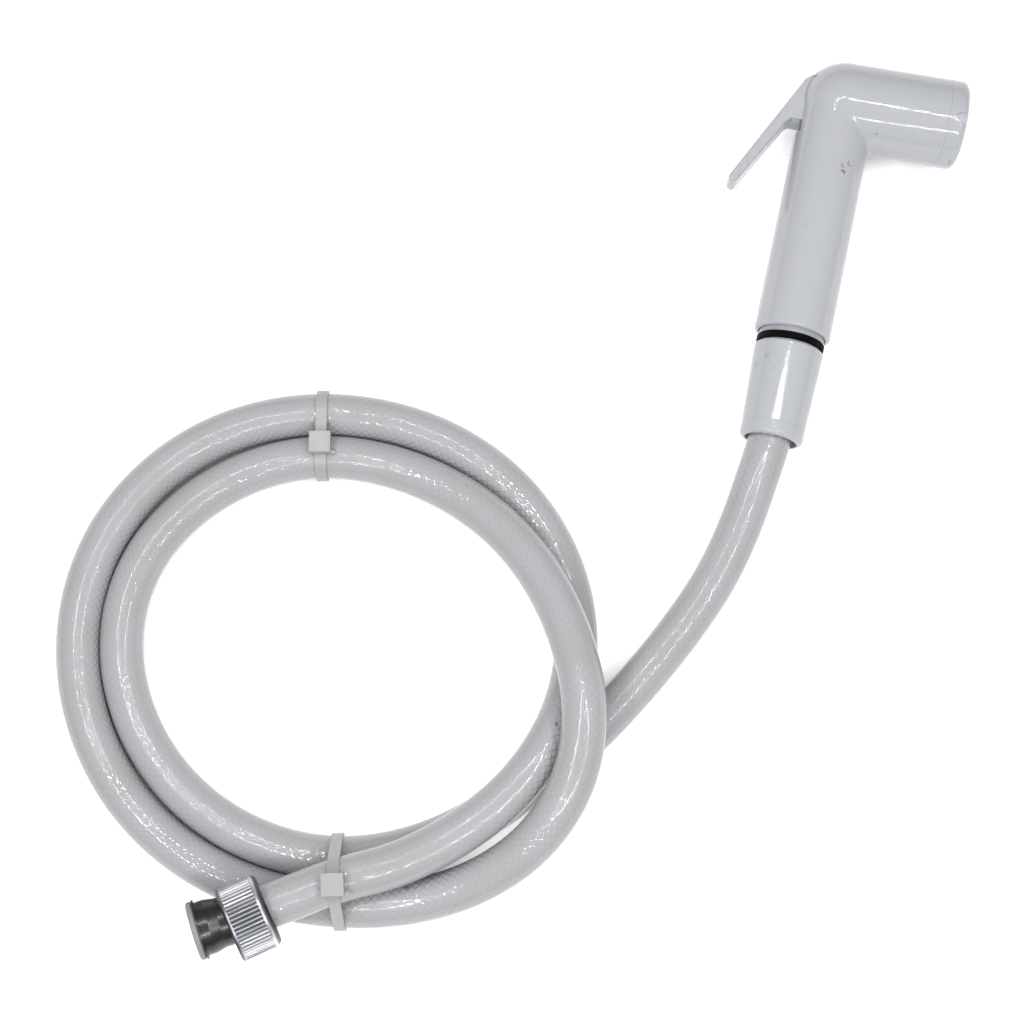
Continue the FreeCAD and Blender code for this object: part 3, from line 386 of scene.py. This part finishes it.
# Wear: brown chips and specks on the body, fine scratches on the lever and smudges on the hose nut
CHIP_BROWN = (0.190, 0.150, 0.100)
SPECK_BLACK = (0.030, 0.028, 0.026)
SCRATCH_GREY = (0.330, 0.330, 0.340)
SMUDGE_AND_SHADE_GREY = (0.440, 0.440, 0.455)
marked(shell_tree, shell_shader, shell_tint, [
    ((-1.3, 26.0, 26.4), (0.30, 0.28, 2.0), SPECK_BLACK, 0.8),
    ((-1.0, 25.3, 26.4), (0.70, 0.32, 2.0), CHIP_BROWN, 0.45),
    ((0.6, 27.2, 25.9), (0.25, 0.90, 2.0), CHIP_BROWN, 0.6),
    ((1.2, 26.6, 25.7), (0.60, 0.22, 2.0), CHIP_BROWN, 0.6),
    ((-0.6, 23.9, 26.3), (0.90, 0.40, 2.0), CHIP_BROWN, 0.8),
    ((-0.2, 23.4, 26.3), (0.35, 0.45, 2.0), CHIP_BROWN, 0.7),
    ((8.0, 39.8, 23.8), (0.26, 0.26, 2.0), SPECK_BLACK, 0.7),
    ((34.1, 38.1, 17.7), (0.35, 0.35, 2.0), CHIP_BROWN, 0.5),
    ((-9.1, 3.3, 26.5), (0.35, 0.45, 2.0), SCRATCH_GREY, 0.5),
    ((15.9, 56.1, 28.6), (0.45, 0.30, 2.0), SCRATCH_GREY, 0.4),
])
marked(lever_tree, lever_shader, lever_tint, [
    ((-31.4, 23.3, 19.6), (0.22, 1.8, 1.0), SCRATCH_GREY, 0.35),
    ((-33.5, 18.9, 19.6), (0.20, 1.6, 1.0), SCRATCH_GREY, 0.30),
    ((-35.6, 15.6, 16.6), (0.40, 0.8, 3.0), SCRATCH_GREY, 0.30),
])

# Painted shade: a thin grey line along the step near the hose nut's lower end
CONE_STEP = -62.455 * MM
STEP_PAINTED_SHADE = 0.45
cone_axes = cone_tree.nodes.new("ShaderNodeSeparateXYZ")
cone_tree.links.new(object_place(cone_tree), cone_axes.inputs["Vector"])
past_step = calculate(cone_tree, "SUBTRACT", cone_axes.outputs["Y"], CONE_STEP)
from_step = calculate(cone_tree, "ABSOLUTE", past_step)
painted_step_shade = calculate(cone_tree, "MULTIPLY", ranged(cone_tree, from_step, 0.35 * MM, 0.05 * MM), STEP_PAINTED_SHADE)
# The painted step shade goes into the cone's colour first, and the smudges go over it
marked(cone_tree, cone_shader, mixed(cone_tree, painted_step_shade, cone_tint, SMUDGE_AND_SHADE_GREY), [
    ((-12.5, -41.6, 23.1), (0.9, 0.7, 2.0), SMUDGE_AND_SHADE_GREY, 0.7),
    ((-15.1, -44.6, 19.6), (0.7, 0.9, 2.0), SMUDGE_AND_SHADE_GREY, 0.7),
    ((-9.6, -45.8, 24.4), (0.5, 0.9, 2.0), SMUDGE_AND_SHADE_GREY, 0.5),
])

grey_sleeve = moulded("grey_sleeve", (0.40, 0.41, 0.43), 0.25)[0]
black_ring, _, ring_shader, _ = moulded("black_ring", (0.001, 0.001, 0.001), 0.70, 0.8)
ring_shader.inputs["Specular IOR Level"].default_value = 0.12
inner_plastic = moulded("inner_plastic", (0.42, 0.42, 0.40), 0.35)[0]
spray_plastic = moulded("spray_plastic", (0.55, 0.56, 0.58), 0.25)[0]
seal_rubber = moulded("seal_rubber", (0.020, 0.020, 0.022), 0.55, 0.7)[0]
washer_rubber = moulded("washer_rubber", (0.33, 0.335, 0.35), 0.45, 0.95)[0]


POLISH_SPREAD = 0.15
SMOOTH_DENTS = 0.0001 * MM


def brushed(name, colour, roughness, dents=0.0015 * MM):
    """Bare or plated metal with fine uneven polish."""
    made, tree, shader = new_material(name, colour, roughness, 1.0)
    darker = tuple(channel * 0.86 for channel in colour)
    tint = mixed(tree, ranged(tree, noise(tree, 350.0), 0.35, 0.7), colour, darker)
    tree.links.new(tint, shader.inputs["Base Color"])
    uneven = ranged(tree, noise(tree, 300.0), 0.3, 0.7,
                    roughness * (1 - POLISH_SPREAD), roughness * (1 + POLISH_SPREAD))
    tree.links.new(uneven, shader.inputs["Roughness"])
    bumped(tree, shader, noise(tree, 300.0, 1.0), dents)
    return made, tree, shader, tint


spring_steel = brushed("spring_steel", (0.55, 0.54, 0.52), 0.25)[0]
pin_steel = brushed("pin_steel", (0.56, 0.56, 0.57), 0.20)[0]
ferrule_steel = brushed("ferrule_steel", (0.085, 0.083, 0.084), 0.30, dents=SMOOTH_DENTS)[0]
nut_chrome, nut_tree, nut_shader, nut_tint = brushed("nut_chrome", (0.66, 0.67, 0.71), 0.40, dents=SMOOTH_DENTS)
insert_brass = brushed("insert_brass", (0.60, 0.42, 0.18), 0.25)[0]

# The supply nut's chrome keeps its colour on its ribs; painted shade darkens it between them and at its ends
NUT_FACE = Vector((-137.423, -254.076, 26.351)) * MM
NUT_OUT = Vector((-0.791116, -0.602669, 0.104528))
RIB_TOP = 11.55 * MM
RIB_FOOT = 11.15 * MM
NUT_HALF = 6.4 * MM
PAINTED_SHADE_BETWEEN_RIBS = (0.22, 0.225, 0.24)
PAINTED_SHADE_AT_NUT_ENDS = (0.06, 0.063, 0.075)


def vector_number(tree, operation, first, second):
    """Socket with a number from two vectors, each a socket or three numbers."""
    node = tree.nodes.new("ShaderNodeVectorMath")
    node.operation = operation
    for socket, value in zip(node.inputs, (first, second)):
        if isinstance(value, Vector):
            socket.default_value = value
        else:
            tree.links.new(value, socket)
    return node.outputs["Value"]


from_face = nut_tree.nodes.new("ShaderNodeVectorMath")
from_face.operation = "SUBTRACT"
from_face.inputs[1].default_value = NUT_FACE
nut_tree.links.new(object_place(nut_tree), from_face.inputs[0])
offset = from_face.outputs["Vector"]
along_nut = vector_number(nut_tree, "DOT_PRODUCT", offset, NUT_OUT)
from_axis = calculate(nut_tree, "SQRT", calculate(
    nut_tree, "SUBTRACT", vector_number(nut_tree, "DOT_PRODUCT", offset, offset),
    calculate(nut_tree, "MULTIPLY", along_nut, along_nut)))
# Painted shade: darker below the rib tops, and darker still towards both ends of the nut
ribs_with_painted_shade = mixed(nut_tree, ranged(nut_tree, from_axis, RIB_FOOT, RIB_TOP), PAINTED_SHADE_BETWEEN_RIBS, nut_tint)
from_middle = calculate(nut_tree, "ABSOLUTE", calculate(nut_tree, "ADD", along_nut, NUT_HALF))
painted_shade_near_ends = ranged(nut_tree, from_middle, NUT_HALF - 1.3 * MM, NUT_HALF - 0.3 * MM)
nut_colour_with_painted_shade = mixed(nut_tree, painted_shade_near_ends, ribs_with_painted_shade, PAINTED_SHADE_AT_NUT_ENDS)
nut_tree.links.new(nut_colour_with_painted_shade, nut_shader.inputs["Base Color"])

# Hose: white braid under a clear jacket. Its diamonds' edges are thin grey lines, darker where little light comes
JACKET = (0.482, 0.480, 0.500)
JACKET_DULL = (0.452, 0.455, 0.462)
BRAID_LINE = (0.165, 0.150, 0.165)
LINE_WIDTH = 0.12
THREAD_WANDER = 0.16
GROOVE_DEPTH = 0.026 * MM
WAVE_AGAINST_GROOVE = 0.12
OPENNESS_SAMPLES = 6

hose_vinyl, hose_tree, hose_shader = new_material("hose_vinyl", JACKET, 0.06)
braid_map = hose_tree.nodes.new("ShaderNodeUVMap")
braid_map.uv_map = "braid"
braid_axes = hose_tree.nodes.new("ShaderNodeSeparateXYZ")
hose_tree.links.new(braid_map.outputs["UV"], braid_axes.inputs["Vector"])
thread_edges = []
for operation in ("ADD", "SUBTRACT"):
    counted = calculate(hose_tree, operation, braid_axes.outputs["X"], braid_axes.outputs["Y"])
    wandered = calculate(hose_tree, "ADD", counted,
                         calculate(hose_tree, "MULTIPLY", noise(hose_tree, 240.0), THREAD_WANDER))
    middle = calculate(hose_tree, "SUBTRACT", calculate(hose_tree, "FRACT", wandered), 0.5)
    thread_edges.append(calculate(hose_tree, "ABSOLUTE", middle))
nearest_edge = calculate(hose_tree, "MAXIMUM", *thread_edges)
edge_line = ranged(hose_tree, nearest_edge, 0.5 - LINE_WIDTH, 0.5)
edge_groove = ranged(hose_tree, nearest_edge, 0.5 - 1.5 * LINE_WIDTH, 0.5)
openness = hose_tree.nodes.new("ShaderNodeAmbientOcclusion")
openness.samples = OPENNESS_SAMPLES
openness.inputs["Distance"].default_value = 9 * MM
shaded = ranged(hose_tree, openness.outputs["AO"], 0.75, 0.25, 0.13, 0.90)
hose_tint = mixed(hose_tree, ranged(hose_tree, noise(hose_tree, 45.0), 0.40, 0.72), JACKET, JACKET_DULL)
hose_colour = mixed(hose_tree, calculate(hose_tree, "MULTIPLY", edge_line, shaded), hose_tint, BRAID_LINE)
marked(hose_tree, hose_shader, hose_colour, [
    ((-53.5, -172.6, 25.9), (0.32, 0.75, 3.0), SPECK_BLACK, 0.75),
    ((-87.9, -231.2, 16.6), (0.9, 0.5, 3.0), SPECK_BLACK, 0.6),
    ((-185.0, -131.8, 13.6), (0.5, 0.7, 2.0), SMUDGE_AND_SHADE_GREY, 0.6),
    ((-214.1, -147.8, 12.8), (1.0, 1.4, 2.0), SMUDGE_AND_SHADE_GREY, 0.35),
])
hose_tree.links.new(ranged(hose_tree, noise(hose_tree, 120.0), 0.35, 0.7, 0.030, 0.055),
                    hose_shader.inputs["Roughness"])
jacket_wave = calculate(hose_tree, "MULTIPLY", noise(hose_tree, 400.0, 1.0), WAVE_AGAINST_GROOVE)
bumped(hose_tree, hose_shader, calculate(hose_tree, "SUBTRACT", jacket_wave, edge_groove), GROOVE_DEPTH)
hose.data.materials.append(hose_vinyl)

# Nylon of the ties lets some light through
tie_nylon, _, tie_shader, _ = moulded("tie_nylon", (0.665, 0.670, 0.660), 0.35)
tie_shader.inputs["Transmission Weight"].default_value = 0.35

made_materials = {
    "white_shell": white_shell, "white_lever": white_lever, "white_cone": white_cone, "grey_sleeve": grey_sleeve,
    "black_ring": black_ring, "inner_plastic": inner_plastic, "spray_plastic": spray_plastic,
    "seal_rubber": seal_rubber, "washer_rubber": washer_rubber, "spring_steel": spring_steel,
    "pin_steel": pin_steel, "ferrule_steel": ferrule_steel, "nut_chrome": nut_chrome,
    "insert_brass": insert_brass, "hose_vinyl": hose_vinyl, "tie_nylon": tie_nylon,
}
for node in nodes.values():
    for slot in node.material_slots:
        slot.material = made_materials[slot.material.name.split(".")[0]]

# ---------------------------------------------------------------- light and floor

RING_RADIUS = 305 * MM
RING_WIDTH = 6 * MM
RING_LAMPS = 24
RING_POWER = 0.175
ZENITH = 0.48
HORIZON = 0.28

ring_step = 2 * math.pi / RING_LAMPS
for number in range(RING_LAMPS):
    lamp_data = bpy.data.lights.new(f"ring_lamp_{number}", "AREA")
    lamp_data.shape = "RECTANGLE"
    lamp_data.size = 2 * (RING_RADIUS + RING_WIDTH / 2) * math.tan(ring_step / 2)
    lamp_data.size_y = RING_WIDTH
    lamp_data.energy = RING_POWER
    lamp = bpy.data.objects.new(f"ring_lamp_{number}", lamp_data)
    turned = Matrix.Rotation(number * ring_step, 4, "Z")
    lamp.matrix_world = camera.matrix_world @ turned @ Matrix.Translation((0.0, RING_RADIUS, 0.0))
    lamp.visible_camera = False
    scene.collection.objects.link(lamp)

world = bpy.data.worlds.new("studio")
world.use_nodes = True
scene.world = world
sky = world.node_tree
sky_direction = sky.nodes.new("ShaderNodeSeparateXYZ")
sky.links.new(sky.nodes.new("ShaderNodeTexCoord").outputs["Generated"], sky_direction.inputs["Vector"])
sky_level = ranged(sky, sky_direction.outputs["Z"], 0.0, 0.9, HORIZON, ZENITH)
sky.links.new(sky_level, sky.nodes["Background"].inputs["Strength"])
sky.nodes["Background"].inputs["Color"].default_value = (0.985, 0.99, 1.0, 1.0)

FLOOR_SIZE = 4.0
FLOOR_LIFT = 0.60
FLOOR_DROP = 0.1 * MM
corners = [(-FLOOR_SIZE, -FLOOR_SIZE), (FLOOR_SIZE, -FLOOR_SIZE), (FLOOR_SIZE, FLOOR_SIZE), (-FLOOR_SIZE, FLOOR_SIZE)]
floor = new_piece("floor", [Vector((x, y, -FLOOR_DROP)) for x, y in corners], [(0, 1, 2, 3)])
floor_paint, floor_tree, floor_shader = new_material("floor_paint", (0.92, 0.92, 0.92), 0.6)
seen = floor_tree.nodes.new("ShaderNodeLightPath")
straight = calculate(floor_tree, "ADD", seen.outputs["Is Camera Ray"], seen.outputs["Is Glossy Ray"])
straight = calculate(floor_tree, "ADD", straight, seen.outputs["Is Transmission Ray"])
floor_shader.inputs["Emission Color"].default_value = (1.0, 1.0, 1.0, 1.0)
# Narrow gaps between the strands stay dark
floor_openness = floor_tree.nodes.new("ShaderNodeAmbientOcclusion")
floor_openness.samples = OPENNESS_SAMPLES
floor_openness.inputs["Distance"].default_value = 14 * MM
lift = ranged(floor_tree, floor_openness.outputs["AO"], 0.15, 0.5, 0.0, FLOOR_LIFT)
floor_tree.links.new(calculate(floor_tree, "MULTIPLY", calculate(floor_tree, "MINIMUM", straight, 1.0), lift),
                     floor_shader.inputs["Emission Strength"])
floor.data.materials.append(floor_paint)

scene.view_settings.view_transform = "Standard"
